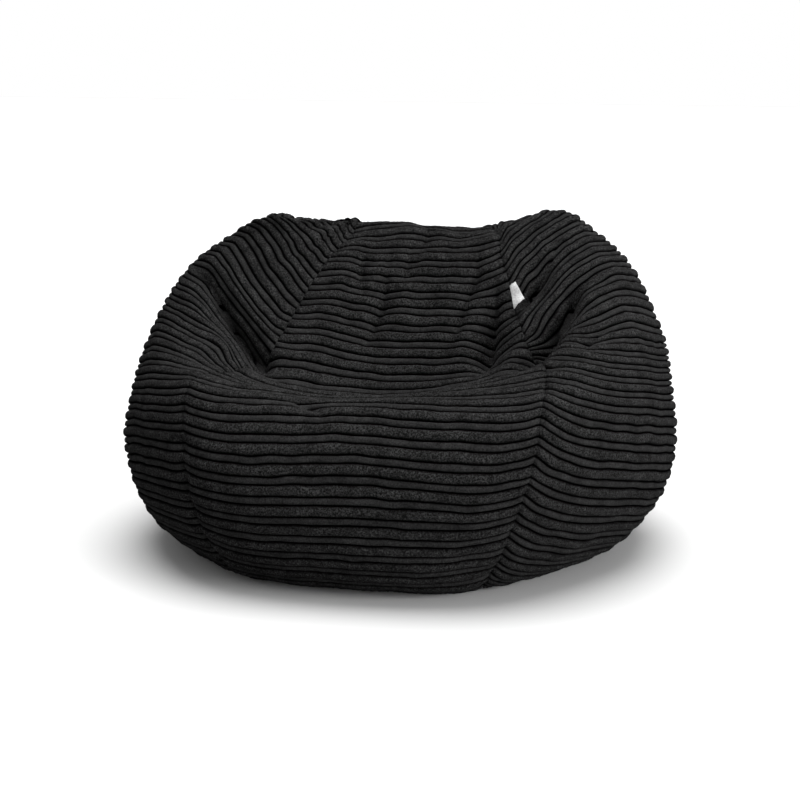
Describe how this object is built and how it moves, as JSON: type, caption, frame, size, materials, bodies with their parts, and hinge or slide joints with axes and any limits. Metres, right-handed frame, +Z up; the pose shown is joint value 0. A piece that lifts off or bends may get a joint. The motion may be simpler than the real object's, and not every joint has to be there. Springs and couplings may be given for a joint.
{
  "type": "bean bag chair",
  "caption": "Round bean bag chair of wide-wale corduroy gores with a hollowed seat, leaning back, two arms, a zipped base, a zipped liner and bead filling.",
  "frame": {"origin": "on the floor, under the middle of the bag's width and depth", "axes": "+Z up, the seat faces -Y, +X is to the right as seen from the front"},
  "size_m": [0.86, 0.8174, 0.5068],
  "materials": {
    "corduroy": "jumbo corduroy, wide and narrow wales in turn",
    "label_cloth": "blank woven satin label",
    "zip_tape": "woven polyester tape",
    "zip_coil": "nylon coil",
    "zip_metal": "nickel plated",
    "liner_cloth": "plain woven polyester",
    "liner_zip": "nylon coil on woven tape",
    "beads": "expanded polystyrene beads"
  },
  "bodies": {
    "bag": {"cover_front_gore": "corduroy", "cover_right_gore": "corduroy", "cover_back_right_gore": "corduroy", "cover_back_left_gore": "corduroy", "cover_left_gore": "corduroy", "cover_top_cap": "corduroy", "cover_base_front": "corduroy", "cover_base_back": "corduroy", "seam_label": "label_cloth", "cover_zip_tape_front": "zip_tape", "cover_zip_tape_back": "zip_tape", "cover_zip_coil_front": "zip_coil", "cover_zip_coil_back": "zip_coil", "cover_zip_stops": "zip_metal", "zip_garage": "corduroy", "liner_front_gore": "liner_cloth", "liner_right_gore": "liner_cloth", "liner_back_right_gore": "liner_cloth", "liner_back_left_gore": "liner_cloth", "liner_left_gore": "liner_cloth", "liner_top_cap": "liner_cloth", "liner_base_front": "liner_cloth", "liner_base_back": "liner_cloth", "liner_zip_tape_front": "liner_zip", "liner_zip_tape_back": "liner_zip", "liner_zip_coil_front": "liner_zip", "liner_zip_coil_back": "liner_zip", "liner_zip_stops": "zip_metal", "bead_filling": "beads"},
    "cover_slider": {"cover_zip_slider": "zip_metal"},
    "liner_slider": {"liner_zip_slider": "zip_metal"}
  },
  "joints": [
    {"name": "cover_zip_slide", "type": "slide", "parent": "bag", "child": "cover_slider", "axis": [-1, 0, 0], "range_m": [0, 0.366]},
    {"name": "liner_zip_slide", "type": "slide", "parent": "bag", "child": "liner_slider", "axis": [-1, 0, 0], "range_m": [0, 0.306]}
  ]
}
